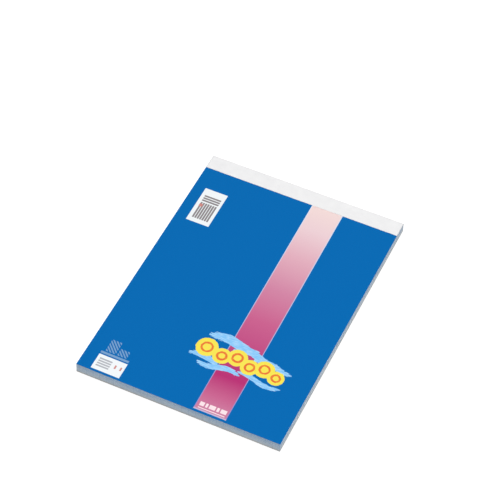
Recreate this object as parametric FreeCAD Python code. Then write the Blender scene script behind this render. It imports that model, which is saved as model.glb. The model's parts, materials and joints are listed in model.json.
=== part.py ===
# A5 writing pad bound along its short head edge.
# Square-ruled sheets lie between a card front cover and a grey back board. Two wire staples
# go through all of them near the head and are clinched under the board. A strip of paper
# tape is folded over the head and hides the staples. The front cover folds back along the
# lower edge of the tape.
# Frame: +X across the width, +Y towards the head, +Z up, in millimetres. The origin is on
# the surface that the pad lies on, under the middle of its outline.

import FreeCAD
import Part
import math
import os

# Sheets, trimmed together as one block
SHEET_WIDTH = 148.0
SHEET_LENGTH = 210.0
SHEET_THICKNESS = 0.09
SHEET_COUNT = 70
# Most that the edge of a leaf lies inside the trimmed face, and the part of it by which
# each leaf differs from the one below
EDGE_JOG = 0.05
JOG_STEP = 0.618

# Front cover and back board
COVER_THICKNESS = 0.3
BOARD_THICKNESS = 0.9

# Paper tape, folded over the head with a leg on the front and one on the back
TAPE_THICKNESS = 0.2
TAPE_LEG = 12.7

# Fold of the cover: width of its scored line, and what the cover keeps from the tape when
# it lies folded back on it
CREASE_WIDTH = 0.3
FOLD_CLEARANCE = 0.1

# Staples of flattened wire: the bend radius is the inner one, the gap is the one between the
# tips that are clinched under the board
WIRE_WIDTH = 0.7
WIRE_THICKNESS = 0.5
WIRE_BEND_RADIUS = 0.3
STAPLE_CROWN = 12.0
STAPLE_SPACING = 74.0
CLINCH_GAP = 3.0
STAPLE_CLEARANCE = 0.05

# Outline: the tape stands proud of the sheets at the head only
OVERALL_LENGTH = SHEET_LENGTH + TAPE_THICKNESS
HEAD_Y = OVERALL_LENGTH / 2 - TAPE_THICKNESS
FOOT_Y = HEAD_Y - SHEET_LENGTH
CREASE_Y = HEAD_Y + TAPE_THICKNESS - TAPE_LEG

# Heights, from the tape's back leg upwards
BOARD_BOTTOM_Z = TAPE_THICKNESS
BOARD_TOP_Z = BOARD_BOTTOM_Z + BOARD_THICKNESS
BLOCK_TOP_Z = BOARD_TOP_Z + SHEET_COUNT * SHEET_THICKNESS
COVER_TOP_Z = BLOCK_TOP_Z + COVER_THICKNESS

# The cover turns about this line, half way between its own plane and where it lies folded
FOLD_Y = CREASE_Y - CREASE_WIDTH / 2
FOLD_Z = COVER_TOP_Z + (TAPE_THICKNESS + FOLD_CLEARANCE) / 2

# The staples stand in the middle of the tape's legs
STAPLE_Y = (HEAD_Y + CREASE_Y) / 2


def plate(left, right, foot, head, bottom, top):
    """A flat rectangular piece between six planes."""
    corner = FreeCAD.Vector(left, foot, bottom)
    return Part.makeBox(right - left, head - foot, top - bottom, corner)


def full_width_plate(foot, head, bottom, top):
    """A flat piece as wide as the pad."""
    return plate(-SHEET_WIDTH / 2, SHEET_WIDTH / 2, foot, head, bottom, top)


def rounded_face(corners, in_space):
    """A flat face round (u, v, radius) corners, each with a tangent arc of its own radius."""
    points = [in_space(u, v) for u, v, radius in corners]
    radii = [radius for u, v, radius in corners]
    edges = []
    arcs = []
    for index, (corner, radius) in enumerate(zip(points, radii)):
        if radius == 0:
            arcs.append((corner, corner))
            continue
        back = (points[index - 1] - corner).normalize()
        ahead = (points[(index + 1) % len(points)] - corner).normalize()
        half_angle = back.getAngle(ahead) / 2
        bisector = (back + ahead).normalize()
        setback = radius / math.tan(half_angle)
        middle = corner + bisector * (radius / math.sin(half_angle) - radius)
        arc_start = corner + back * setback
        arc_end = corner + ahead * setback
        edges.append(Part.Arc(arc_start, middle, arc_end).toShape())
        arcs.append((arc_start, arc_end))
    for (_, run_start), (run_end, _) in zip(arcs, arcs[1:] + arcs[:1]):
        edges.append(Part.makeLine(run_start, run_end))
    return Part.Face(Part.Wire(Part.sortEdges(edges)[0]))


def bent_wire(middle_x, clearance):
    """A clinched staple about middle_x, thickened all round by a clearance for its hole."""
    side = STAPLE_CROWN / 2 + clearance
    inner_side = side - WIRE_THICKNESS - 2 * clearance
    tip = CLINCH_GAP / 2 - clearance
    bottom = BOARD_BOTTOM_Z + STAPLE_CLEARANCE - clearance
    inner_bottom = bottom + WIRE_THICKNESS + 2 * clearance
    top = COVER_TOP_Z - STAPLE_CLEARANCE + clearance
    inner_top = top - WIRE_THICKNESS - 2 * clearance
    inner_bend = WIRE_BEND_RADIUS - clearance
    outer_bend = WIRE_BEND_RADIUS + WIRE_THICKNESS + clearance
    outline = [
        (-tip, bottom, 0),
        (-side, bottom, outer_bend),
        (-side, top, outer_bend),
        (side, top, outer_bend),
        (side, bottom, outer_bend),
        (tip, bottom, 0),
        (tip, inner_bottom, 0),
        (inner_side, inner_bottom, inner_bend),
        (inner_side, inner_top, inner_bend),
        (-inner_side, inner_top, inner_bend),
        (-inner_side, inner_bottom, inner_bend),
        (-tip, inner_bottom, 0),
    ]
    edge_y = STAPLE_Y - WIRE_WIDTH / 2 - clearance
    section = rounded_face(outline, lambda x, z: FreeCAD.Vector(middle_x + x, edge_y, z))
    return section.extrude(FreeCAD.Vector(0, WIRE_WIDTH + 2 * clearance, 0))


def staple_centres():
    """Where the left and the right staple stand across the width."""
    return {"staple_left": -STAPLE_SPACING / 2, "staple_right": STAPLE_SPACING / 2}


def without_staple_holes(piece):
    """A piece with the holes and grooves that the two staples are pressed into."""
    for middle_x in staple_centres().values():
        piece = piece.cut(bent_wire(middle_x, STAPLE_CLEARANCE))
    return piece


def leaf_jog(index, side):
    """How far a leaf's edge lies inside the trimmed face, on side 0, 1 or 2 of the block."""
    return EDGE_JOG * ((index * JOG_STEP + side / 3) % 1.0)


def leaf(index):
    """One sheet of the block. Glue and tape hold its head edge level with the others."""
    bottom = BOARD_TOP_Z + index * SHEET_THICKNESS
    return plate(
        -SHEET_WIDTH / 2 + leaf_jog(index, 0),
        SHEET_WIDTH / 2 - leaf_jog(index, 1),
        FOOT_Y + leaf_jog(index, 2),
        HEAD_Y,
        bottom,
        bottom + SHEET_THICKNESS,
    )


def sheet_block():
    """All the sheets, as one block whose cut edges show the single leaves."""
    leaves = [leaf(index) for index in range(SHEET_COUNT)]
    return without_staple_holes(leaves[0].multiFuse(leaves[1:]))


def back_board():
    """The grey board under the sheets."""
    return without_staple_holes(full_width_plate(FOOT_Y, HEAD_Y, BOARD_BOTTOM_Z, BOARD_TOP_Z))


def cover_margin():
    """The head of the cover card, which the staples and the tape hold to the sheets."""
    return without_staple_holes(full_width_plate(CREASE_Y, HEAD_Y, BLOCK_TOP_Z, COVER_TOP_Z))


def front_cover():
    """The part of the cover card that folds back over the head."""
    return full_width_plate(FOOT_Y, CREASE_Y - CREASE_WIDTH, BLOCK_TOP_Z, COVER_TOP_Z)


def binding_tape():
    """The tape's section, square inside and round outside its two folds, drawn out in width."""
    back = HEAD_Y + TAPE_THICKNESS
    top = COVER_TOP_Z + TAPE_THICKNESS
    outline = [
        (CREASE_Y, 0, 0),
        (back, 0, TAPE_THICKNESS),
        (back, top, TAPE_THICKNESS),
        (CREASE_Y, top, 0),
        (CREASE_Y, COVER_TOP_Z, 0),
        (HEAD_Y, COVER_TOP_Z, 0),
        (HEAD_Y, BOARD_BOTTOM_Z, 0),
        (CREASE_Y, BOARD_BOTTOM_Z, 0),
    ]
    section = rounded_face(outline, lambda y, z: FreeCAD.Vector(-SHEET_WIDTH / 2, y, z))
    return section.extrude(FreeCAD.Vector(SHEET_WIDTH, 0, 0))


def all_pieces():
    """Every piece of the pad under its own name."""
    pieces = {
        "back_board": back_board(),
        "sheet_block": sheet_block(),
        "cover_margin": cover_margin(),
        "front_cover": front_cover(),
        "binding_tape": binding_tape(),
    }
    for name, middle_x in staple_centres().items():
        pieces[name] = bent_wire(middle_x, 0.0)
    return pieces


os.makedirs("parts", exist_ok=True)
for name, shape in all_pieces().items():
    shape.exportStep("parts/" + name + ".step")
    print(name, "solids", len(shape.Solids), "valid", shape.isValid())
print("the cover folds about the line y", round(FOLD_Y, 3), "z", round(FOLD_Z, 3))
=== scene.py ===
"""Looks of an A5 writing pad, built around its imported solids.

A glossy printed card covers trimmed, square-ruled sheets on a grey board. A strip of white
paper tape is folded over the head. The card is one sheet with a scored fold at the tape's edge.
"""

from __future__ import annotations

import json
import logging
import math
from dataclasses import dataclass
from enum import Enum
from typing import Any, Mapping, Optional, Sequence, Union

import bpy
import numpy as np
from mathutils import Matrix, Vector


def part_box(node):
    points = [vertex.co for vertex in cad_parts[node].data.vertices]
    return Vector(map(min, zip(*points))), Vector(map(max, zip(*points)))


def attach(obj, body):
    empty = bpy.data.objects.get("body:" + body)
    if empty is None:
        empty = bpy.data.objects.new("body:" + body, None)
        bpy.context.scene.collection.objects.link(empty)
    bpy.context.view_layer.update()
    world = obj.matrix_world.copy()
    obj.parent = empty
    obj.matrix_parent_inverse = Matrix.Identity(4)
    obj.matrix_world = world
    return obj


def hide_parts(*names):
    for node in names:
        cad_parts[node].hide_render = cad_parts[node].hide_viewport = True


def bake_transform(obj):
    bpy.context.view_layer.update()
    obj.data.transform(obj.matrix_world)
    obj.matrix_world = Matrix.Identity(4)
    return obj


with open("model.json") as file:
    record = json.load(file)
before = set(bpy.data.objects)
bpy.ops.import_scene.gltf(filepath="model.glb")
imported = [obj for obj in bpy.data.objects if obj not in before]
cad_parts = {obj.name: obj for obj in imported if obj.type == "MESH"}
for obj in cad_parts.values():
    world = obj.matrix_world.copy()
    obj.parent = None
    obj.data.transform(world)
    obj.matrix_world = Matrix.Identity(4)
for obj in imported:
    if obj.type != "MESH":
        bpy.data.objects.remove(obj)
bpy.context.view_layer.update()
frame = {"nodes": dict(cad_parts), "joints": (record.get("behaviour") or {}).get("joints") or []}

log = logging.getLogger("writing_pad")

MM = 0.001
CARD_PLACE = "card_place"

Socket = bpy.types.NodeSocket
Colour = tuple[float, float, float]
Number = Union["Value", float]
Settings = Optional[Mapping[str, Any]]
Inputs = Optional[Mapping[Union[str, int], Any]]


def srgb(red: int, green: int, blue: int) -> Colour:
    """A colour as it looks on a screen, turned into the linear one that nodes take.

    Args:
        red: Red, from 0 to 255.
        green: Green, from 0 to 255.
        blue: Blue, from 0 to 255.

    Returns:
        The linear colour, each part from 0 to 1.
    """
    parts = (part / 255 for part in (red, green, blue))
    return tuple(p / 12.92 if p <= 0.04045 else ((p + 0.055) / 1.055) ** 2.4 for p in parts)


class Value:
    """A number on a node socket. Arithmetic on it adds Math nodes to its tree."""

    def __init__(self, graph: Graph, socket: Socket) -> None:
        """Wraps a socket.

        Args:
            graph: The graph that new nodes go into.
            socket: The output socket that holds the number.
        """
        self.graph = graph
        self.socket = socket

    def __add__(self, other: Number) -> Value:
        """The sum."""
        return self.graph.math("ADD", self, other)

    __radd__ = __add__

    def __sub__(self, other: Number) -> Value:
        """The difference."""
        return self.graph.math("SUBTRACT", self, other)

    def __rsub__(self, other: Number) -> Value:
        """The difference, with this value taken away."""
        return self.graph.math("SUBTRACT", other, self)

    def __mul__(self, other: Number) -> Value:
        """The product."""
        return self.graph.math("MULTIPLY", self, other)

    __rmul__ = __mul__

    def __truediv__(self, other: Number) -> Value:
        """The quotient."""
        return self.graph.math("DIVIDE", self, other)

    def __mod__(self, other: Number) -> Value:
        """What is left after whole steps of the other value, never below zero."""
        return self.graph.math("FLOORED_MODULO", self, other)

    def __abs__(self) -> Value:
        """The size without its sign."""
        return self.graph.math("ABSOLUTE", self)

    def __and__(self, other: Number) -> Value:
        """The smaller of the two: what two masks share."""
        return self.graph.math("MINIMUM", self, other)

    def __or__(self, other: Number) -> Value:
        """The larger of the two: what either mask covers."""
        return self.graph.math("MAXIMUM", self, other)


class Graph:
    """Adds nodes to one shader or geometry tree."""

    def __init__(self, tree: bpy.types.NodeTree) -> None:
        """Wraps a tree.

        Args:
            tree: The node tree that is added to.
        """
        self.tree = tree

    @staticmethod
    def _find(sockets: Sequence[Socket], key: Union[str, int]) -> Socket:
        """Finds a socket.

        Args:
            sockets: A node's inputs or outputs.
            key: The socket's place, its identifier or its name.

        Returns:
            The socket.
        """
        if isinstance(key, int):
            return sockets[key]
        named = [socket for socket in sockets if socket.identifier == key]
        return named[0] if named else sockets[key]

    def node(self, kind: str, settings: Settings = None, inputs: Inputs = None) -> bpy.types.Node:
        """Adds one node.

        Args:
            kind: The node's type, such as ShaderNodeMath.
            settings: Its own properties, set before its sockets.
            inputs: For each input socket a value, or what is linked to it.

        Returns:
            The new node.
        """
        node = self.tree.nodes.new(kind)
        for name, setting in (settings or {}).items():
            setattr(node, name, setting)
        for key, given in (inputs or {}).items():
            self.feed(self._find(node.inputs, key), given)
        return node

    def feed(self, socket: Socket, given: Any) -> None:
        """Links an input socket, or sets its own value.

        Args:
            socket: The input socket.
            given: What to link: a Value, a socket, or a node for its first output. Anything
                else is the value that is set, and a colour of three numbers is opaque.
        """
        if isinstance(given, Value):
            given = given.socket
        elif isinstance(given, bpy.types.Node):
            given = given.outputs[0]
        if isinstance(given, Socket):
            self.tree.links.new(given, socket)
        elif socket.type == "RGBA" and len(given) == 3:
            socket.default_value = (*given, 1.0)
        else:
            socket.default_value = given

    def out(self, node: bpy.types.Node, key: Union[str, int] = 0) -> Value:
        """An output of a node, as a number to reckon with."""
        return Value(self, self._find(node.outputs, key))

    def math(self, operation: str, *terms: Number, clamp: bool = False) -> Value:
        """Adds a Math node.

        Args:
            operation: What it does, such as MULTIPLY.
            terms: Its inputs in order.
            clamp: Whether its result stays from 0 to 1.

        Returns:
            The node's result.
        """
        settings = {"operation": operation, "use_clamp": clamp}
        return self.out(self.node("ShaderNodeMath", settings, dict(enumerate(terms))))

    def span(self, value: Value, start: float, end: float) -> Value:
        """How far a value has come from a start to an end.

        Args:
            value: The value.
            start: Where the share is 0, which it also is before it.
            end: Where the share is 1, which it also is beyond it.

        Returns:
            The share, from 0 to 1.
        """
        reach = end - start
        return self.math("MULTIPLY_ADD", value, 1 / reach, -start / reach, clamp=True)

    def edge(self, inside: Value, softness: float) -> Value:
        """A mask that is 1 where a depth is positive and 0 where it is negative.

        Args:
            inside: How deep a place lies inside a shape.
            softness: Over what depth the mask changes, in the same unit.

        Returns:
            The mask.
        """
        return self.span(inside, -softness / 2, softness / 2)

    def mix(self, factor: Number, first: Any, second: Any) -> Socket:
        """Mixes two colours.

        Args:
            factor: 0 and below give the first colour, 1 and above the second.
            first: A colour or a colour socket.
            second: A colour or a colour socket.

        Returns:
            The mixed colour's socket.
        """
        settings = {"data_type": "RGBA", "blend_type": "MIX", "clamp_factor": True}
        inputs = {"Factor_Float": factor, "A_Color": first, "B_Color": second}
        return self._find(self.node("ShaderNodeMix", settings, inputs).outputs, "Result_Color")

    def vector(self, x: Number, y: Number, z: Number) -> Socket:
        """A vector from three numbers."""
        return self.node("ShaderNodeCombineXYZ", inputs={"X": x, "Y": y, "Z": z}).outputs[0]

    def parts(self, vector: Socket) -> tuple[Value, Value, Value]:
        """The three numbers of a vector."""
        node = self.node("ShaderNodeSeparateXYZ", inputs={0: vector})
        return self.out(node, 0), self.out(node, 1), self.out(node, 2)

    def noise(self, place: Socket, scale: float, detail: float) -> Value:
        """Smooth noise about 0.5.

        Args:
            place: The place that it is read at.
            scale: How many lumps there are to a unit of length.
            detail: How many finer layers are added.

        Returns:
            The noise.
        """
        inputs = {"Vector": place, "Scale": scale, "Detail": detail}
        return self.out(self.node("ShaderNodeTexNoise", {"noise_dimensions": "3D"}, inputs))

    def ramp(self, factor: Value, stops: Sequence[tuple[float, Colour]]) -> Socket:
        """A colour gradient.

        Args:
            factor: Where along the gradient.
            stops: Places from 0 to 1 and their colours, in order.

        Returns:
            The colour's socket.
        """
        node = self.node("ShaderNodeValToRGB", inputs={"Fac": factor})
        elements = node.color_ramp.elements
        for _ in stops[2:]:
            elements.new(0.5)
        for element, (place, colour) in zip(elements, stops):
            element.position = place
            element.color = (*colour, 1.0)
        return node.outputs["Color"]

    def bump(self, height: Value, depth: float) -> Socket:
        """A normal that is tilted by a height.

        Args:
            height: The height, from 0 to 1.
            depth: What a height of 1 is in metres.

        Returns:
            The normal's socket.
        """
        inputs = {"Height": height, "Distance": depth, "Strength": 1.0}
        return self.node("ShaderNodeBump", inputs=inputs).outputs["Normal"]


def cleared(holder: Union[bpy.types.Material, bpy.types.World]) -> Graph:
    """Empties the node tree of a material or a world.

    Args:
        holder: The material or the world.

    Returns:
        The graph of its tree.
    """
    holder.use_nodes = True
    holder.node_tree.nodes.clear()
    return Graph(holder.node_tree)


@dataclass(frozen=True)
class CardPlane:
    """Places on the cover, as it lies closed, in millimetres."""

    graph: Graph
    x: Value
    y: Value
    softness: float = 0.14

    @staticmethod
    def read(graph: Graph) -> CardPlane:
        """Reads the places that the cover's mesh carries.

        Args:
            graph: The graph of the cover's finish.

        Returns:
            The plane, +x to the right and +y towards the head.
        """
        carried = graph.node("ShaderNodeAttribute", {"attribute_name": CARD_PLACE})
        x, y, _ = graph.parts(carried.outputs["Vector"])
        return CardPlane(graph, x, y)

    def place(self, stretch: float = 1.0) -> Socket:
        """The place as a vector. A stretch below 1 draws noise out across the card."""
        return self.graph.vector(self.x * stretch, self.y, 0.0)

    def leaned(self, slope: float) -> CardPlane:
        """The plane on which an upright shape leans."""
        return CardPlane(self.graph, self.x + self.y * slope, self.y)

    def ink(self, depth: Value) -> Value:
        """The mask of a printed shape, from the depth inside it."""
        return self.graph.edge(depth, self.softness)


@dataclass(frozen=True)
class Box:
    """An upright rectangle of print on the cover, in millimetres."""

    left: float
    right: float
    foot: float
    head: float

    def depth(self, card: CardPlane) -> Value:
        """How deep a place lies inside the rectangle.

        Args:
            card: The places on the cover.

        Returns:
            The depth in millimetres, negative outside.
        """
        across = (self.right - self.left) / 2 - abs(card.x - (self.left + self.right) / 2)
        along = (self.head - self.foot) / 2 - abs(card.y - (self.foot + self.head) / 2)
        return across & along

    def mask(self, card: CardPlane) -> Value:
        """Where the rectangle is."""
        return card.ink(self.depth(card))


class Direction(Enum):
    """Which way printed bars run."""

    ACROSS = "across"
    ALONG = "along"
    SLANTED = "slanted"


@dataclass(frozen=True)
class Bars:
    """Evenly spaced bars of one colour inside a rectangle, in millimetres."""

    box: Box
    pitch: float
    share: float
    direction: Direction

    def _run(self, card: CardPlane) -> Value:
        """How far a place lies across the bars.

        Args:
            card: The places on the cover.

        Returns:
            The distance from the rectangle's lower left corner, in millimetres.
        """
        if self.direction is Direction.ACROSS:
            return card.y - self.box.foot
        if self.direction is Direction.ALONG:
            return card.x - self.box.left
        return (card.x + card.y - self.box.left - self.box.foot) * math.sqrt(0.5)

    def mask(self, card: CardPlane) -> Value:
        """Where the bars are.

        Args:
            card: The places on the cover.

        Returns:
            The mask.
        """
        middle = abs(self._run(card) % self.pitch - self.pitch / 2)
        return card.ink(self.pitch * self.share / 2 - middle) & self.box.mask(card)


@dataclass(frozen=True)
class Ribbon:
    """A wavy brush stroke across the cover, thin at both ends, in millimetres."""

    left: float
    right: float
    middle: float
    width: float
    swing: float
    length: float
    phase: float
    fray: float = 0.8
    end_fray_share: float = 0.9

    def depth(self, card: CardPlane, bristle: Value) -> Value:
        """How deep a place lies inside the stroke.

        Args:
            card: The places on the cover.
            bristle: Streaks along the stroke, about zero, that fray it towards its ends.

        Returns:
            The depth in millimetres, negative outside.
        """
        turn = 2 * math.pi / self.length
        line = self.middle + self.swing * card.graph.math("SINE", card.x * turn + self.phase)
        half = (self.right - self.left) / 2
        along = (card.x - (self.left + self.right) / 2) / half
        spread = along * along
        body = self.width / 2 * card.graph.math("SQRT", (1 - spread) | 0.0) - abs(card.y - line)
        frayed = body + bristle * (spread * self.width * self.end_fray_share + self.fray)
        return frayed & ((1 - spread) * half)


@dataclass(frozen=True)
class Disc:
    """A round spot of print with a ring in it, in millimetres."""

    x: float
    y: float
    radius: float
    ring_share: float = 0.48
    ring_width: float = 1.5
    unevenness: float = 1.1

    def depths(self, card: CardPlane, bristle: Value) -> tuple[Value, Value]:
        """How deep a place lies inside the spot, and inside its ring.

        Args:
            card: The places on the cover.
            bristle: Noise about zero that makes both outlines uneven.

        Returns:
            The two depths in millimetres, negative outside.
        """
        across = card.x - self.x
        up = card.y - self.y
        away = card.graph.math("SQRT", across * across + up * up) + bristle * self.unevenness
        ring = self.ring_width / 2 - abs(away - self.radius * self.ring_share)
        return self.radius - away, ring


def joined(depths: Sequence[Value]) -> Value:
    """The depth inside any of several shapes.

    Args:
        depths: The depth inside each one.

    Returns:
        The largest of them.
    """
    most = depths[0]
    for depth in depths[1:]:
        most = most | depth
    return most


@dataclass(frozen=True)
class CoverPrint:
    """The colours and simple shapes printed on the cover."""

    ground: Colour = srgb(0, 108, 181)
    ground_dark: Colour = srgb(0, 101, 173)
    band: Box = Box(10.5, 33.0, -102.6, 110.0)
    band_lean: float = 0.0084
    block_spans: tuple[tuple[float, float], ...] = (
        (12.4, 15.6), (16.6, 18.2), (19.2, 23.6), (24.6, 26.4), (27.4, 31.6))
    block_foot: float = -99.3
    block_head: float = -96.0
    foot_rule: Box = Box(12.4, 31.6, -101.3, -100.6)
    gradient_foot: float = -105.0
    gradient_head: float = 95.0
    outline_width: float = 0.5
    outline_head: Colour = srgb(226, 236, 246)
    outline_foot: Colour = srgb(150, 138, 202)
    paper: Colour = srgb(241, 245, 246)
    blush: Colour = srgb(250, 226, 231)
    grey: Colour = srgb(140, 134, 136)
    pale_grey: Colour = srgb(178, 180, 187)
    pale_red: Colour = srgb(206, 138, 132)
    foot_line: Colour = srgb(200, 184, 214)
    pale_blue: Colour = srgb(132, 197, 245)
    paler_blue: Colour = srgb(180, 218, 248)
    yellow: Colour = srgb(246, 228, 84)
    orange: Colour = srgb(240, 146, 58)
    red_orange: Colour = srgb(228, 96, 62)
    hatch: Colour = srgb(122, 160, 200)
    streak_level: float = 0.53
    streak_strength: float = 0.75
    band_stops: tuple[tuple[float, Colour], ...] = (
        (0.00, srgb(206, 136, 166)),
        (0.08, srgb(201, 102, 144)),
        (0.17, srgb(184, 50, 115)),
        (0.30, srgb(191, 76, 129)),
        (0.43, srgb(201, 97, 141)),
        (0.58, srgb(209, 133, 163)),
        (0.74, srgb(225, 173, 187)),
        (0.88, srgb(236, 207, 211)),
        (1.00, srgb(243, 219, 214)),
    )
    ribbons: tuple[Ribbon, ...] = (
        Ribbon(-6.0, 31.0, -43.2, 7.6, 1.6, 40.0, 0.8),
        Ribbon(14.0, 46.0, -47.4, 5.6, 1.8, 30.0, 2.6),
        Ribbon(30.0, 58.0, -50.4, 4.2, 1.6, 34.0, 0.6),
        Ribbon(-12.0, 10.0, -62.6, 5.2, 1.5, 30.0, 2.4),
        Ribbon(-4.0, 27.0, -66.6, 4.6, 1.6, 32.0, 4.2),
        Ribbon(24.0, 56.0, -65.4, 4.0, 1.8, 36.0, 2.8),
    )
    discs: tuple[Disc, ...] = (
        Disc(-2.6, -54.0, 7.7),
        Disc(9.4, -56.6, 6.5),
        Disc(19.6, -53.6, 7.0),
        Disc(30.0, -57.4, 6.4),
        Disc(39.8, -54.6, 6.9),
        Disc(49.4, -58.0, 5.8),
    )

    def labels(self) -> list[tuple[Union[Box, Bars], Colour]]:
        """Two white fields with bars and marks, and two hatched sheets over a pale line.

        Returns:
            The shapes and their colours, in the order in which they are printed.
        """
        return [
            (Box(-65.3, -47.9, 41.8, 74.0), self.paper),
            (Bars(Box(-62.8, -50.0, 61.7, 68.3), 2.2, 0.66, Direction.ACROSS), self.grey),
            (Bars(Box(-62.8, -50.0, 45.4, 60.9), 1.83, 0.72, Direction.ALONG), self.grey),
            (Box(-62.8, -60.2, 56.6, 59.4), self.pale_red),
            (Box(-64.2, -43.3, -103.2, -90.4), self.paper),
            (Bars(Box(-62.3, -53.0, -100.6, -92.6), 2.0, 0.6, Direction.ACROSS), self.pale_grey),
            (Box(-50.2, -49.0, -97.6, -94.6), self.pale_red),
            (Box(-46.2, -45.0, -97.6, -94.6), self.pale_red),
            (Bars(Box(-61.8, -54.4, -86.6, -76.2), 1.8, 0.54, Direction.SLANTED), self.hatch),
            (Bars(Box(-53.2, -46.2, -86.6, -80.9), 1.8, 0.54, Direction.SLANTED), self.hatch),
            (Box(-64.2, -43.5, -89.3, -87.6), self.hatch),
        ]

    def paint(self, card: CardPlane, grain: Value) -> Socket:
        """Lays the print down, one colour over another.

        Args:
            card: The places on the cover.
            grain: Noise from 0 to 1 that clouds the blue a little.

        Returns:
            The printed colour's socket.
        """
        colour = card.graph.mix(grain, self.ground, self.ground_dark)
        colour = self._paint_band(card, colour)
        colour = self._paint_motif(card, colour)
        for shape, ink in self.labels():
            colour = card.graph.mix(shape.mask(card), colour, ink)
        return colour

    def _paint_band(self, card: CardPlane, under: Any) -> Socket:
        """Prints the band with its fine outline and the blocks at its foot.

        Args:
            card: The places on the cover.
            under: The colour that it is printed on.

        Returns:
            The printed colour's socket.
        """
        graph, band, rim = card.graph, self.band, self.outline_width
        along = graph.span(card.y, self.gradient_foot, self.gradient_head)
        leaned = card.leaned(self.band_lean)
        inside = band.depth(leaned)
        outline = graph.mix(along, self.outline_foot, self.outline_head)
        colour = graph.mix(card.ink(inside + rim), under, outline)
        colour = graph.mix(card.ink(inside), colour, graph.ramp(along, self.band_stops))
        foot = Box(band.left - rim, band.right + rim, band.foot - rim, band.foot + rim)
        colour = graph.mix(foot.mask(leaned), colour, self.foot_line)
        blocks = [Box(left, right, self.block_foot, self.block_head) for left, right in self.block_spans]
        marks = joined([block.depth(leaned) for block in (*blocks, self.foot_rule)])
        return graph.mix(card.ink(marks), colour, self.blush)

    def _paint_motif(self, card: CardPlane, under: Any) -> Socket:
        """Prints the pale brush strokes and the row of yellow spots that cross the band.

        Args:
            card: The places on the cover.
            under: The colour that they are printed on.

        Returns:
            The printed colour's socket.
        """
        graph = card.graph
        lengthwise = graph.noise(card.place(stretch=0.12), scale=1.5, detail=3.0)
        round_about = graph.noise(card.place(), scale=0.45, detail=2.0) - 0.5
        strokes = joined([ribbon.depth(card, lengthwise - 0.5) for ribbon in self.ribbons])
        spots, rings = zip(*(disc.depths(card, round_about) for disc in self.discs))
        streaks = graph.edge(lengthwise - self.streak_level, softness=0.12)
        pale = graph.mix(streaks * self.streak_strength, self.pale_blue, self.paler_blue)
        warm = graph.edge(round_about, softness=0.5)
        colour = graph.mix(card.ink(strokes), under, pale)
        colour = graph.mix(card.ink(joined(spots)), colour, self.yellow)
        ring_colour = graph.mix(warm, self.orange, self.red_orange)
        return graph.mix(card.ink(joined(rings)), colour, ring_colour)


@dataclass(frozen=True)
class Finish:
    """A surface finish, made as one material with one Principled shader."""

    title: str

    def material(self) -> bpy.types.Material:
        """Makes the material.

        Returns:
            The finished material.
        """
        material = bpy.data.materials.new(self.title)
        graph = cleared(material)
        shader = graph.node("ShaderNodeBsdfPrincipled")
        for name, given in self.dress(graph).items():
            graph.feed(shader.inputs[name], given)
        graph.node("ShaderNodeOutputMaterial", inputs={"Surface": shader})
        return material

    def dress(self, graph: Graph) -> dict[str, Any]:
        """What goes into the shader's sockets.

        Args:
            graph: The material's graph.

        Returns:
            A value or a socket for each named socket of the shader.
        """
        raise NotImplementedError

    @staticmethod
    def place(graph: Graph) -> Socket:
        """The place on the piece, in metres."""
        return graph.node("ShaderNodeTexCoord").outputs["Object"]


@dataclass(frozen=True)
class PrintedCard(Finish):
    """Smooth laminated print on the outside of the cover."""

    design: CoverPrint = CoverPrint()
    roughness: float = 0.16
    wear: float = 0.08

    def dress(self, graph: Graph) -> dict[str, Any]:
        """Print under a thin glossy film that is slightly uneven.

        Args:
            graph: The material's graph.

        Returns:
            What goes into the shader's sockets.
        """
        card = CardPlane.read(graph)
        grain = graph.noise(card.place(), scale=0.9, detail=3.0)
        peel = graph.noise(card.place(), scale=0.8, detail=1.0)
        rub = graph.noise(card.place(stretch=0.15), scale=1.2, detail=4.0)
        return {
            "Base Color": self.design.paint(card, grain),
            "Roughness": self.roughness + self.wear * rub,
            "Specular IOR Level": 0.25,
            "Normal": graph.bump(peel, depth=0.006 * MM),
        }


@dataclass(frozen=True)
class PlainCard(Finish):
    """The bare white side and core of the cover card."""

    colour: Colour = srgb(238, 238, 234)
    cloudy: Colour = srgb(230, 230, 226)

    def dress(self, graph: Graph) -> dict[str, Any]:
        """Uncoated card with a fine fibre.

        Args:
            graph: The material's graph.

        Returns:
            What goes into the shader's sockets.
        """
        place = CardPlane.read(graph).place()
        cloud = graph.noise(place, scale=0.35, detail=4.0)
        fibre = graph.noise(place, scale=3.2, detail=4.0)
        return {
            "Base Color": graph.mix(cloud, self.colour, self.cloudy),
            "Roughness": 0.72,
            "Specular IOR Level": 0.3,
            "Normal": graph.bump(fibre, depth=0.012 * MM),
        }


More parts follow.
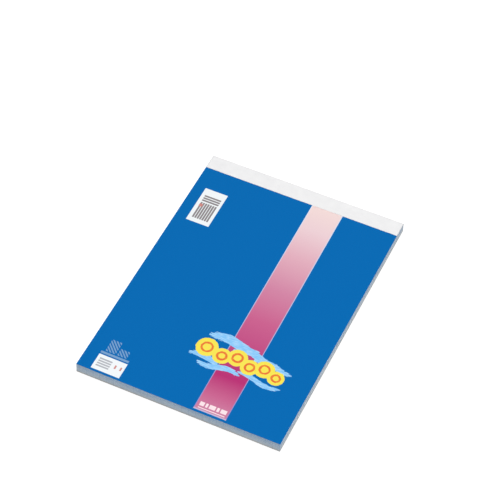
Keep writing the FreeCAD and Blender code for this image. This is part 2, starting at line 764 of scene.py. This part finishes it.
@dataclass(frozen=True)
class WritingPaper(Finish):
    """White writing paper, square-ruled, with cut edges in a painted bluish shade. Its lengths are in
    millimetres.
    """

    left: float
    foot: float
    bottom: float
    leaf_pitch: float
    block_height: float
    tear_line: float
    square: float = 5.0
    line_width: float = 0.2
    slit_width: float = 0.14
    slit_pitch: float = 1.4
    slit_gap: float = 0.5
    slit_strength: float = 0.55
    edge_ruling: float = 0.12
    paper: Colour = srgb(244, 246, 247)
    # Painted shade: the cut edges are a darker, bluish copy of the paper's white.
    shaded_cut_edge: Colour = srgb(184, 216, 243)
    shaded_cut_edge_dark: Colour = srgb(140, 180, 222)
    # Painted light: paler copies of the edge colour for the bottom of the block.
    painted_light_low_edge: Colour = srgb(228, 238, 245)
    painted_light_low_edge_dark: Colour = srgb(192, 208, 224)
    ruling: Colour = srgb(168, 188, 210)
    slit: Colour = srgb(150, 150, 150)

    def dress(self, graph: Graph) -> dict[str, Any]:
        """Ruled faces with a tear line, and cut edges in painted shade whose tone changes from leaf to
        leaf.

        Args:
            graph: The material's graph.

        Returns:
            What goes into the shader's sockets.
        """
        x, y, z = (part / MM for part in graph.parts(self.place(graph)))
        _, _, up = graph.parts(graph.node("ShaderNodeNewGeometry").outputs["Normal"])
        face = graph.edge(abs(up) - 0.5, softness=0.2)
        # The faces get the paper's white, the edges get the painted shade.
        colour = graph.mix(face, self._edge_colour(graph, x, y, z), self.paper)
        ruled = self._ruling(graph, x, y) * (self.edge_ruling + (1 - self.edge_ruling) * face)
        colour = graph.mix(ruled, colour, self.ruling)
        slits = self._slits(graph, x, y) * face * self.slit_strength
        colour = graph.mix(slits, colour, self.slit)
        fibre = graph.noise(graph.vector(x, y, z * 6.0), scale=3.5, detail=4.0)
        return {
            "Base Color": colour,
            "Roughness": 0.78,
            "Specular IOR Level": 0.25,
            "Normal": graph.bump(fibre, depth=0.010 * MM),
        }

    def _edge_colour(self, graph: Graph, x: Value, y: Value, z: Value) -> Socket:
        """The cut edges' colour: a painted bluish shade that changes by leaf and by batch, with painted
        light that makes it paler low down.

        Args:
            graph: The material's graph.
            x: The place across the sheets, in millimetres.
            y: The place along them.
            z: The height.

        Returns:
            The colour's socket.
        """
        height = z - self.bottom
        leaf = graph.math("FLOOR", height / self.leaf_pitch)
        tone = graph.out(graph.node("ShaderNodeTexWhiteNoise", {"noise_dimensions": "1D"}, {"W": leaf}))
        batch = graph.noise(graph.vector(x * 0.02, y * 0.02, z), scale=1.5, detail=4.0)
        shade = tone * 0.3 + batch * 2.2 - 0.85
        high = graph.mix(shade, self.shaded_cut_edge, self.shaded_cut_edge_dark)
        low = graph.mix(shade, self.painted_light_low_edge, self.painted_light_low_edge_dark)
        # Painted light: the edges turn paler towards the bottom of the block.
        return graph.mix(1 - height / self.block_height, high, low)

    def _ruling(self, graph: Graph, x: Value, y: Value) -> Value:
        """The mask of the ruled lines.

        Args:
            graph: The material's graph.
            x: The place across the sheets, in millimetres.
            y: The place along them.

        Returns:
            The mask.
        """
        across = abs((x - self.left) % self.square - self.square / 2)
        along = abs((y - self.foot) % self.square - self.square / 2)
        return graph.edge((across | along) - (self.square - self.line_width) / 2, softness=0.08)

    def _slits(self, graph: Graph, x: Value, y: Value) -> Value:
        """The mask of the tear line's slits."""
        along_line = graph.edge(self.slit_width / 2 - abs(y - self.tear_line), softness=0.05)
        return along_line & graph.edge(x % self.slit_pitch - self.slit_gap, softness=0.1)


@dataclass(frozen=True)
class PaperTape(Finish):
    """Smooth white paper tape with a faint cloudiness."""

    colour: Colour = srgb(244, 243, 242)
    cloudy: Colour = srgb(233, 232, 232)

    def dress(self, graph: Graph) -> dict[str, Any]:
        """Calendered paper that is a little uneven.

        Args:
            graph: The material's graph.

        Returns:
            What goes into the shader's sockets.
        """
        place = self.place(graph)
        cloud = graph.noise(place, scale=160.0, detail=4.0)
        fibre = graph.noise(place, scale=2600.0, detail=4.0)
        return {
            "Base Color": graph.mix(cloud, self.colour, self.cloudy),
            "Roughness": 0.5 + 0.15 * fibre,
            "Specular IOR Level": 0.35,
            "Normal": graph.bump(fibre, depth=0.014 * MM),
        }


@dataclass(frozen=True)
class GreyBoard(Finish):
    """Rough grey board of mixed waste paper, with pale and dark flecks."""

    colour: Colour = srgb(214, 213, 208)
    cloudy: Colour = srgb(200, 199, 193)
    fibrous: Colour = srgb(214, 212, 206)
    pale_fleck: Colour = srgb(232, 230, 225)
    dark_fleck: Colour = srgb(112, 114, 120)

    def dress(self, graph: Graph) -> dict[str, Any]:
        """Matted fibres and sparse flecks.

        Args:
            graph: The material's graph.

        Returns:
            What goes into the shader's sockets.
        """
        place = self.place(graph)
        cloud = graph.noise(place, scale=90.0, detail=5.0)
        fibre = graph.noise(place, scale=1500.0, detail=5.0)
        pale = graph.edge(graph.noise(place, scale=520.0, detail=2.0) - 0.68, softness=0.05)
        dark = graph.edge(graph.noise(place, scale=640.0, detail=2.0) - 0.70, softness=0.05)
        colour = graph.mix(cloud, self.colour, self.cloudy)
        colour = graph.mix(fibre * 0.5, colour, self.fibrous)
        colour = graph.mix(pale * 0.5, colour, self.pale_fleck)
        colour = graph.mix(dark * 0.45, colour, self.dark_fleck)
        return {
            "Base Color": colour,
            "Roughness": 0.9,
            "Specular IOR Level": 0.15,
            "Normal": graph.bump(fibre, depth=0.04 * MM),
        }


@dataclass(frozen=True)
class StapleWire(Finish):
    """Bright galvanised staple wire, drawn along its length."""

    colour: Colour = srgb(200, 200, 196)
    marked: Colour = srgb(172, 172, 170)

    def dress(self, graph: Graph) -> dict[str, Any]:
        """Zinc with faint drawing marks.

        Args:
            graph: The material's graph.

        Returns:
            What goes into the shader's sockets.
        """
        marks = graph.noise(self.place(graph), scale=3200.0, detail=3.0)
        return {
            "Base Color": graph.mix(marks, self.colour, self.marked),
            "Metallic": 1.0,
            "Roughness": 0.28 + 0.16 * marks,
            "Normal": graph.bump(marks, depth=0.004 * MM),
        }


def link(name: str, mesh: bpy.types.Mesh) -> bpy.types.Object:
    """Puts a mesh into the scene as an object at the origin.

    Args:
        name: The object's name.
        mesh: Its mesh.

    Returns:
        The object.
    """
    piece = bpy.data.objects.new(name, mesh)
    bpy.context.scene.collection.objects.link(piece)
    return piece


def shell_mesh(name: str, outer: np.ndarray, inner: np.ndarray) -> bpy.types.Mesh:
    """A closed shell between two surfaces, given as grids of points.

    Args:
        name: The mesh's name.
        outer: Points of the outer surface, as rows, columns and three numbers.
        inner: Points of the inner surface, in the same order.

    Returns:
        The mesh. Material 0 is on the outer surface, 1 on the inner one and 2 round the rim.
    """
    rows, columns, _ = outer.shape
    number = np.arange(rows * columns).reshape(rows, columns)
    corners = [number[:-1, :-1], number[1:, :-1], number[1:, 1:], number[:-1, 1:]]
    cells = np.stack(corners, -1).reshape(-1, 4)
    count = rows * columns
    loop = np.concatenate([number[:-1, 0], number[-1, :-1], number[:0:-1, -1], number[0, :0:-1]])
    onward = np.roll(loop, -1)
    rim = np.stack([loop, loop + count, onward + count, onward], -1)
    faces = np.concatenate([cells, cells[:, ::-1] + count, rim])
    points = np.concatenate([outer.reshape(-1, 3), inner.reshape(-1, 3)])
    mesh = bpy.data.meshes.new(name)
    mesh.from_pydata(points.tolist(), [], faces.tolist())
    kinds = np.concatenate([np.zeros(len(cells)), np.ones(len(cells)), np.full(len(rim), 2)])
    mesh.polygons.foreach_set("material_index", kinds.astype(np.int32))
    mesh.polygons.foreach_set("use_smooth", kinds < 2)
    mesh.update()
    return mesh


def stations(low: float, high: float, count: int, margins: Sequence[float] = ()) -> np.ndarray:
    """Places along a side, with extra ones close to both ends.

    Args:
        low: The first place.
        high: The last place.
        count: How many even steps lie between them.
        margins: How far from each end the extra places are.

    Returns:
        The places in order.
    """
    even = np.linspace(low, high, count + 1)
    extra = [place for margin in margins for place in (low + margin, high - margin)]
    return np.unique(np.concatenate([even, extra]))


@dataclass
class CoverCard:
    """The printed card, one sheet from the foot to the head under the tape."""

    low: Vector
    high: Vector
    fold: Vector
    fold_reach: float = 0.75 * MM
    edge_round: float = 0.05 * MM
    foot_lift: float = 0.06 * MM
    corner_lift: tuple[float, float] = (0.45 * MM, 0.25 * MM)
    ripple: float = 0.05 * MM
    ripple_lengths: tuple[float, float] = (31 * MM, 44 * MM)
    ripple_phases: tuple[float, float] = (1.3, 0.4)
    score_depth: float = 0.05 * MM
    score_width: float = 0.25 * MM
    columns: int = 56
    rows: int = 70
    fold_rows: int = 22
    margin_rows: int = 4

    def _rise(self, x: np.ndarray, y: np.ndarray) -> np.ndarray:
        """How far the card lies off the sheets: faint ripples, and corners that curl a little.

        Args:
            x: Places across the card.
            y: Places along it.

        Returns:
            The rise at each place.
        """
        share = np.clip((self.fold.y - y) / (self.fold.y - self.low.y), 0.0, 1.0)
        across = 2 * (x - self.low.x) / (self.high.x - self.low.x) - 1
        left, right = self.corner_lift
        curl = left * np.clip(-across, 0.0, 1.0) ** 3 + right * np.clip(across, 0.0, 1.0) ** 3
        waves = zip((x, y), self.ripple_lengths, self.ripple_phases)
        wave = math.prod(np.sin(place / length + phase) for place, length, phase in waves)
        ripple = self.ripple * (1 + wave) / 2 * np.sqrt(share)
        return self.foot_lift * share**2 + curl * share**3 + ripple

    def _score(self, y: np.ndarray) -> np.ndarray:
        """The shallow groove along the fold."""
        return self.score_depth * np.exp(-(((y - self.fold.y) / self.score_width) ** 2))

    def mesh(self) -> bpy.types.Mesh:
        """Builds the card.

        Returns:
            The mesh, which carries its places as it lies closed, in millimetres.
        """
        margins = (self.edge_round * 0.4, self.edge_round, 4 * self.edge_round)
        xs = stations(self.low.x, self.high.x, self.columns, margins)
        far = self.fold.y - self.fold_reach
        near = self.fold.y + self.fold_reach
        ys = np.unique(np.concatenate([
            stations(self.low.y, far, self.rows, margins),
            np.linspace(far, near, self.fold_rows + 1),
            np.linspace(near, self.high.y, self.margin_rows + 1),
        ]))
        x, y = np.meshgrid(xs, ys, indexing="ij")
        inset = np.minimum(np.minimum(x - self.low.x, self.high.x - x), y - self.low.y)
        corner = np.clip(1 - inset / self.edge_round, 0.0, 1.0)
        rounding = self.edge_round * (1 - np.sqrt(1 - corner**2))
        rise = self._rise(x, y)
        top = self.high.z + rise - rounding - self._score(y)
        outer = np.stack([x, y, top], -1)
        inner = np.stack([x, y, self.low.z + rise], -1)
        mesh = shell_mesh("cover_card", outer, inner)
        places = np.concatenate([outer.reshape(-1, 3), inner.reshape(-1, 3)]) / MM
        carried = mesh.attributes.new(CARD_PLACE, "FLOAT_VECTOR", "POINT")
        carried.data.foreach_set("vector", places.astype(np.float32).ravel())
        return mesh

    def build(self) -> bpy.types.Object:
        """Builds the card and dresses it.

        Returns:
            The finished piece.
        """
        mesh = self.mesh()
        plain = PlainCard("plain_card").material()
        for material in (PrintedCard("printed_card").material(), plain, plain):
            mesh.materials.append(material)
        piece = link("cover_card", mesh)
        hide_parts("front_cover", "cover_margin")
        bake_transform(piece)
        return piece


@dataclass
class SheetStack:
    """The trimmed block of loose leaves, each one a thin sheet of its own."""

    low: Vector
    high: Vector
    tape_edge: float
    leaves: int = 70
    gap: float = 0.004 * MM
    slip: float = 0.05 * MM
    waviness: float = 0.06 * MM
    seed: int = 11
    leaf_columns: int = 12
    leaf_rows: int = 17
    wave_scale: float = 22.0
    leaf_scale: float = 9000.0
    ruling_inset: float = 2.5 * MM
    tear_inset: float = 1.2 * MM

    def tree(self) -> bpy.types.GeometryNodeTree:
        """The tree that stacks the leaves.

        Returns:
            A tree with named inputs for the sizes, the seed and the paper.
        """
        tree = bpy.data.node_groups.new("leaf_stack", "GeometryNodeTree")
        sockets = {
            "Leaves": "Int",
            "Leaf Size": "Vector",
            "First Middle": "Vector",
            "Pitch": "Float",
            "Slip": "Float",
            "Waviness": "Float",
            "Seed": "Int",
            "Paper": "Material",
        }
        for name, kind in sockets.items():
            tree.interface.new_socket(name, in_out="INPUT", socket_type=f"NodeSocket{kind}")
        tree.interface.new_socket("Geometry", in_out="OUTPUT", socket_type="NodeSocketGeometry")
        graph = Graph(tree)
        given = graph.node("NodeGroupInput").outputs
        slip = Value(graph, given["Slip"])
        waviness = Value(graph, given["Waviness"])
        step = graph.vector(0.0, 0.0, Value(graph, given["Pitch"]))
        line = graph.node("GeometryNodeMeshLine", {"mode": "OFFSET"}, {
            "Count": given["Leaves"], "Start Location": given["First Middle"], "Offset": step})
        most = graph.vector(slip, slip, 0.0)
        least = graph.vector(slip * -1.0, slip * -1.0, 0.0)
        stray = graph.node("FunctionNodeRandomValue", {"data_type": "FLOAT_VECTOR"}, {
            "Min": least, "Max": most, "Seed": given["Seed"]})
        strayed = graph.node("GeometryNodeSetPosition", inputs={"Geometry": line, "Offset": stray})
        leaf = graph.node("GeometryNodeMeshCube", inputs={
            "Size": given["Leaf Size"], "Vertices X": self.leaf_columns + 1,
            "Vertices Y": self.leaf_rows + 1, "Vertices Z": 2})
        copies = graph.node("GeometryNodeInstanceOnPoints", inputs={"Points": strayed, "Instance": leaf})
        real = graph.node("GeometryNodeRealizeInstances", inputs={0: copies})
        x, y, z = graph.parts(graph.node("GeometryNodeInputPosition").outputs[0])
        spot = graph.vector(x * self.wave_scale, y * self.wave_scale, z * self.leaf_scale)
        wander = graph.node("ShaderNodeTexNoise", inputs={"Vector": spot, "Scale": 1.0, "Detail": 1.0})
        wx, wy, _ = graph.parts(wander.outputs["Color"])
        shift = graph.vector((wx - 0.5) * waviness, (wy - 0.5) * waviness, 0.0)
        waved = graph.node("GeometryNodeSetPosition", inputs={"Geometry": real, "Offset": shift})
        papered = graph.node("GeometryNodeSetMaterial", inputs={
            "Geometry": waved, "Material": given["Paper"]})
        graph.node("NodeGroupOutput", inputs={"Geometry": papered})
        return tree

    def build(self) -> bpy.types.Object:
        """Stacks the leaves and turns them into one plain mesh.

        Returns:
            The finished piece.
        """
        width, length, height = (high - low for low, high in zip(self.low, self.high))
        pitch = height / self.leaves
        stray = 2 * self.slip + self.waviness
        middle = (self.low + self.high) / 2
        paper = WritingPaper(
            "writing_paper",
            left=(self.low.x + self.ruling_inset) / MM,
            foot=(self.low.y + self.ruling_inset) / MM,
            bottom=self.low.z / MM,
            leaf_pitch=pitch / MM,
            block_height=height / MM,
            tear_line=(self.tape_edge - self.tear_inset) / MM,
        )
        sizes = {
            "Leaves": self.leaves,
            "Leaf Size": Vector((width - stray, length - stray, pitch - self.gap)),
            "First Middle": Vector((middle.x, middle.y, self.low.z + pitch / 2)),
            "Pitch": pitch,
            "Slip": self.slip,
            "Waviness": self.waviness,
            "Seed": self.seed,
            "Paper": paper.material(),
        }
        piece = grown_mesh("sheet_stack", self.tree(), sizes)
        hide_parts("sheet_block")
        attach(piece, "pad")
        return piece


def grown_mesh(name: str, tree: bpy.types.GeometryNodeTree, given: Mapping[str, Any]) -> bpy.types.Object:
    """Runs a geometry tree and keeps its result as a plain mesh.

    Args:
        name: The piece's name.
        tree: The geometry tree.
        given: A value for each of the tree's named inputs.

    Returns:
        The piece, with no modifier left on it.
    """
    carrier = link(name + "_carrier", bpy.data.meshes.new(name + "_carrier"))
    modifier = carrier.modifiers.new("grow", "NODES")
    modifier.node_group = tree
    for item in tree.interface.items_tree:
        if item.in_out == "INPUT":
            modifier[item.identifier] = given[item.name]
    evaluated = carrier.evaluated_get(bpy.context.evaluated_depsgraph_get())
    mesh = bpy.data.meshes.new_from_object(evaluated)
    mesh.name = name
    bpy.data.objects.remove(carrier)
    return link(name, mesh)


@dataclass
class HeadTape:
    """The paper tape, folded over the head with one leg in front and one behind."""

    low: Vector
    high: Vector
    thickness: float
    staples: Sequence[tuple[Vector, Vector]]
    inner_round: float = 0.02 * MM
    fold_steps: int = 8
    leg_steps: int = 26
    columns: int = 180
    crown_rise: float = 0.06 * MM
    crown_spread: float = 0.8 * MM
    cut_wander: float = 0.05 * MM
    cockle: float = 0.02 * MM
    cockle_lengths: tuple[float, float, float] = (7.1 * MM, 3.3 * MM, 17.3 * MM)
    cut_lengths: tuple[float, float] = (11.0 * MM, 3.7 * MM)

    def _path(self) -> np.ndarray:
        """The inner face's section from the front edge round to the back edge.

        Returns:
            For each point its y and z and the y and z of its outward normal.
        """
        head = self.high.y - self.thickness
        centre_y = head - self.inner_round
        upper = self.high.z - self.thickness - self.inner_round
        lower = self.low.z + self.thickness + self.inner_round
        legs = np.linspace(self.low.y, centre_y, self.leg_steps + 1)[:-1]
        points = [(y, upper + self.inner_round, 0.0, 1.0) for y in legs]
        for turn in np.linspace(math.pi / 2, 0.0, self.fold_steps + 1):
            points.append(self._on_fold(centre_y, upper, turn))
        for turn in np.linspace(0.0, -math.pi / 2, self.fold_steps + 1):
            points.append(self._on_fold(centre_y, lower, turn))
        points += [(y, lower - self.inner_round, 0.0, -1.0) for y in legs[::-1]]
        return np.array(points)

    def _on_fold(self, y: float, z: float, turn: float) -> tuple[float, float, float, float]:
        """A point of a fold's inner face and its outward normal."""
        out_y, out_z = math.cos(turn), math.sin(turn)
        return y + self.inner_round * out_y, z + self.inner_round * out_z, out_y, out_z

    def _crown(self, x: np.ndarray, y: np.ndarray) -> np.ndarray:
        """How far the tape stands up over the staples' crowns.

        Args:
            x: Places across the tape.
            y: Places along it.

        Returns:
            The rise at each place.
        """
        rise = np.zeros_like(x)
        for low, high in self.staples:
            away_x = np.maximum(np.maximum(low.x - x, x - high.x), 0.0)
            away_y = np.maximum(np.maximum(low.y - y, y - high.y), 0.0)
            away = np.hypot(away_x, away_y) / self.crown_spread
            rise = np.maximum(rise, self.crown_rise * np.exp(-(away**2)))
        return rise

    def _swell(self, x: np.ndarray, y: np.ndarray) -> np.ndarray:
        """The tape's shallow waves, as a share from 0 to 1."""
        short, slant, long = self.cockle_lengths
        return (1 + np.sin(x / short + y / slant) * np.sin(x / long - 0.7)) / 2

    def _cut(self, x: np.ndarray) -> np.ndarray:
        """How far the front edge's cut wanders, as a share from 0 to 1."""
        long, short = self.cut_lengths
        return (1 + np.sin(x / long) * 0.6 + np.sin(x / short + 1.0) * 0.4) / 2

    def build(self) -> bpy.types.Object:
        """Builds the tape and dresses it.

        Returns:
            The finished piece.
        """
        path = self._path()
        xs = stations(self.low.x, self.high.x, self.columns)
        y, x = np.meshgrid(path[:, 0], xs, indexing="ij")
        z, out_y, out_z = (np.repeat(path[:, n:n + 1], len(xs), 1) for n in (1, 2, 3))
        swell = np.where(out_z > -0.5, self.cockle * self._swell(x, y), 0.0)
        y = y + np.where(y - self.low.y < 0.01 * MM, self.cut_wander * self._cut(x), 0.0)
        swell = swell + np.where(out_z > 0.99, self._crown(x, y), 0.0)
        thick = self.thickness + swell - self.cockle
        outer = np.stack([x, y + out_y * thick, z + out_z * thick], -1)
        inner = np.stack([x, y, z], -1)
        mesh = shell_mesh("head_tape", outer[::-1], inner[::-1])
        paper = PaperTape("paper_tape").material()
        for _ in range(3):
            mesh.materials.append(paper)
        piece = link("head_tape", mesh)
        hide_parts("binding_tape")
        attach(piece, "pad")
        return piece


@dataclass
class HeldPieces:
    """The solids that keep their own shape and only get a finish."""

    finishes: Mapping[str, Finish]

    def build(self) -> None:
        """Gives each solid its finish."""
        for node, finish in self.finishes.items():
            piece = frame["nodes"][node]
            piece.data.materials.clear()
            piece.data.materials.append(finish.material())
            log.info("%s dressed", piece.name)


@dataclass
class Studio:
    """Plain floor, soft light and the camera."""

    floor_size: float = 8.0
    floor_grey: float = 0.46
    floor_white: float = 0.55
    floor_glow: float = 0.64
    far_glow: float = 0.85
    near_reach: float = 1 / 3
    far_reach: float = 7 / 6
    room_level: float = 0.37
    room_tint: Colour = (0.94, 0.99, 1.06)
    ceiling_level: float = 0.10
    ceiling_foot: float = 0.64
    wall_head: float = 0.44
    key_power: float = 18.5
    key_colour: Colour = (1.0, 0.985, 0.965)
    key_size: float = 1.1
    key_place: tuple[float, float, float] = (0.12, -0.13, 1.49)
    azimuth: float = 23.23
    elevation: float = 49.53
    roll: float = 2.25
    distance: float = 1.4533
    lens: float = 150.0
    sensor_width: float = 36.0
    target: tuple[float, float, float] = (-0.01534, 0.04151, 0.0)

    def seen_ray(self, graph: Graph) -> Value:
        """Tells the rays that see the background from those that only light the pad.

        Args:
            graph: The graph of the floor or of the room.

        Returns:
            1 for the camera's rays and for those in gloss and glass, and 0 for others.
        """
        path = graph.node("ShaderNodeLightPath")
        kinds = ("Camera", "Glossy", "Transmission")
        return joined([graph.out(path, f"Is {kind} Ray") for kind in kinds])

    def floor(self) -> bpy.types.Object:
        """A wide floor that looks white and keeps the pad's shadow.

        Returns:
            The floor.
        """
        half = self.floor_size / 2
        corners = [(-half, -half, 0), (half, -half, 0), (half, half, 0), (-half, half, 0)]
        mesh = bpy.data.meshes.new("floor")
        mesh.from_pydata(corners, [], [(0, 1, 2, 3)])
        material = bpy.data.materials.new("studio_floor")
        graph = cleared(material)
        dull = graph.node("ShaderNodeBsdfDiffuse", inputs={"Color": (self.floor_grey,) * 3})
        white = graph.node("ShaderNodeBsdfDiffuse", inputs={"Color": (self.floor_white,) * 3})
        x, y, _ = graph.parts(graph.node("ShaderNodeTexCoord").outputs["Object"])
        far = graph.span(graph.math("SQRT", x * x + y * y), self.near_reach, self.far_reach)
        level = graph.mix(far, (self.floor_glow,) * 3, (self.far_glow,) * 3)
        glow = graph.node("ShaderNodeEmission", inputs={"Color": level})
        lit = graph.node("ShaderNodeAddShader", inputs={0: white, 1: glow})
        shown = graph.node("ShaderNodeMixShader", inputs={0: self.seen_ray(graph), 1: dull, 2: lit})
        graph.node("ShaderNodeOutputMaterial", inputs={"Surface": shown})
        mesh.materials.append(material)
        piece = link("floor", mesh)
        return piece

    def room(self) -> None:
        """A white wall all round below a dim ceiling, and an even light on the pad."""
        world = bpy.data.worlds.new("studio")
        bpy.context.scene.world = world
        graph = cleared(world)
        _, _, up = graph.parts(graph.node("ShaderNodeTexCoord").outputs["Generated"])
        wall = graph.span(up, self.ceiling_foot, self.wall_head)
        seen = graph.mix(wall, (self.ceiling_level,) * 3, (1.0, 1.0, 1.0))
        even = tuple(self.room_level * part for part in self.room_tint)
        shown = graph.mix(self.seen_ray(graph), even, seen)
        background = graph.node("ShaderNodeBackground", inputs={"Color": shown, "Strength": 1.0})
        graph.node("ShaderNodeOutputWorld", inputs={"Surface": background})

    def key_light(self) -> None:
        """One large soft light over the pad, which leaves no glare on the glossy print."""
        light = bpy.data.lights.new("key", "AREA")
        light.size = self.key_size
        light.energy = self.key_power
        light.color = self.key_colour
        lamp = bpy.data.objects.new("key", light)
        lamp.visible_glossy = False
        lamp.location = self.key_place
        lamp.rotation_euler = Vector(self.key_place).to_track_quat("Z", "Y").to_euler()
        bpy.context.scene.collection.objects.link(lamp)

    def camera(self) -> None:
        """The camera at the photograph's viewing angle."""
        azimuth, elevation, roll = (math.radians(a) for a in (self.azimuth, self.elevation, self.roll))
        level = math.cos(elevation)
        back = Vector((math.sin(azimuth) * level, -math.cos(azimuth) * level, math.sin(elevation)))
        right = Vector((math.cos(azimuth), math.sin(azimuth), 0.0))
        up = back.cross(right)
        right_rolled = right * math.cos(roll) + up * math.sin(roll)
        up_rolled = up * math.cos(roll) - right * math.sin(roll)
        data = bpy.data.cameras.new("camera")
        data.lens = self.lens
        data.sensor_width = self.sensor_width
        camera = bpy.data.objects.new("camera", data)
        turn = Matrix((right_rolled, up_rolled, back)).transposed()
        place = Vector(self.target) + back * self.distance
        camera.matrix_world = Matrix.Translation(place) @ turn.to_4x4()
        bpy.context.scene.collection.objects.link(camera)
        bpy.context.scene.camera = camera

    def build(self) -> None:
        """Sets the whole studio up."""
        bpy.context.scene.view_settings.view_transform = "Standard"
        self.floor()
        self.room()
        self.key_light()
        self.camera()


def joined_box(*nodes: str) -> tuple[Vector, Vector]:
    """The lowest and highest corners of several solids together.

    Args:
        nodes: The solids' names.

    Returns:
        The two corners.
    """
    boxes = [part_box(node) for node in nodes]
    low = Vector(map(min, *(box[0] for box in boxes)))
    high = Vector(map(max, *(box[1] for box in boxes)))
    return low, high


def main() -> None:
    """Builds the studio and dresses the pad, piece by piece."""
    logging.basicConfig(level=logging.INFO, format="%(name)s: %(message)s")
    Studio().build()
    log.info("studio ready")
    fold = Vector(frame["joints"][0]["pos_m"])
    tape_low, tape_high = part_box("binding_tape")
    thickness = tape_high.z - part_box("cover_margin")[1].z
    staples = [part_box(node) for node in ("staple_left", "staple_right")]
    for assembly in (
        CoverCard(*joined_box("front_cover", "cover_margin"), fold),
        SheetStack(*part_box("sheet_block"), tape_low.y),
        HeadTape(tape_low, tape_high, thickness, staples),
    ):
        piece = assembly.build()
        log.info("%s has %d faces", piece.name, len(piece.data.polygons))
    HeldPieces({
        "back_board": GreyBoard("grey_board"),
        "staple_left": StapleWire("staple_wire_left"),
        "staple_right": StapleWire("staple_wire_right"),
    }).build()


if __name__ == "__main__":
    main()
